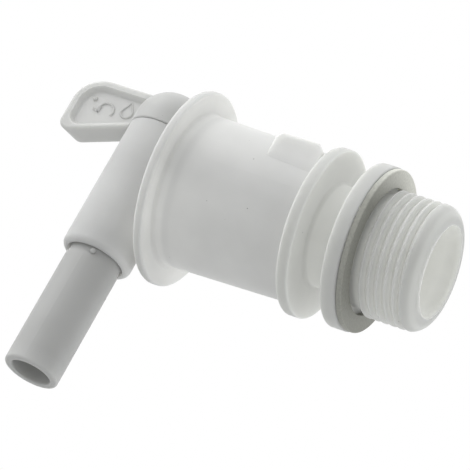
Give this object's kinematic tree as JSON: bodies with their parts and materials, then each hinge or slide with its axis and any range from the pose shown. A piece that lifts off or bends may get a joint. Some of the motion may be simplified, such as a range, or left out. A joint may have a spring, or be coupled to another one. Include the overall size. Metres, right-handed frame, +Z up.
{
  "type": "jerry can tap",
  "caption": "Plastic quarter-turn tap with a round-flanged hollow barrel, pipe-thread spigot with gasket, upright plug housing, downward spout and dished lever.",
  "frame": {"origin": "centre of the gasket's sealing face, on the spigot's axis", "axes": "+Y along the spigot into the can, +Z up, spout along -Z, lever forward along -Y at rest"},
  "size_m": [0.0414, 0.0903, 0.0706],
  "materials": {
    "milky_plastic": "natural translucent moulding, satin",
    "white_plastic": "white moulding, satin",
    "gasket_rubber": "grey, matt"
  },
  "bodies": {
    "tap": {"tap_body": "milky_plastic", "threaded_spigot": "milky_plastic", "sealing_gasket": "gasket_rubber"},
    "valve": {"valve_plug": "white_plastic"}
  },
  "joints": [
    {"name": "lever_turn", "type": "hinge", "parent": "tap", "child": "valve", "pos_m": [0, -0.05452, 0], "axis": [0, 0, 1], "range_deg": [0, 90]}
  ]
}
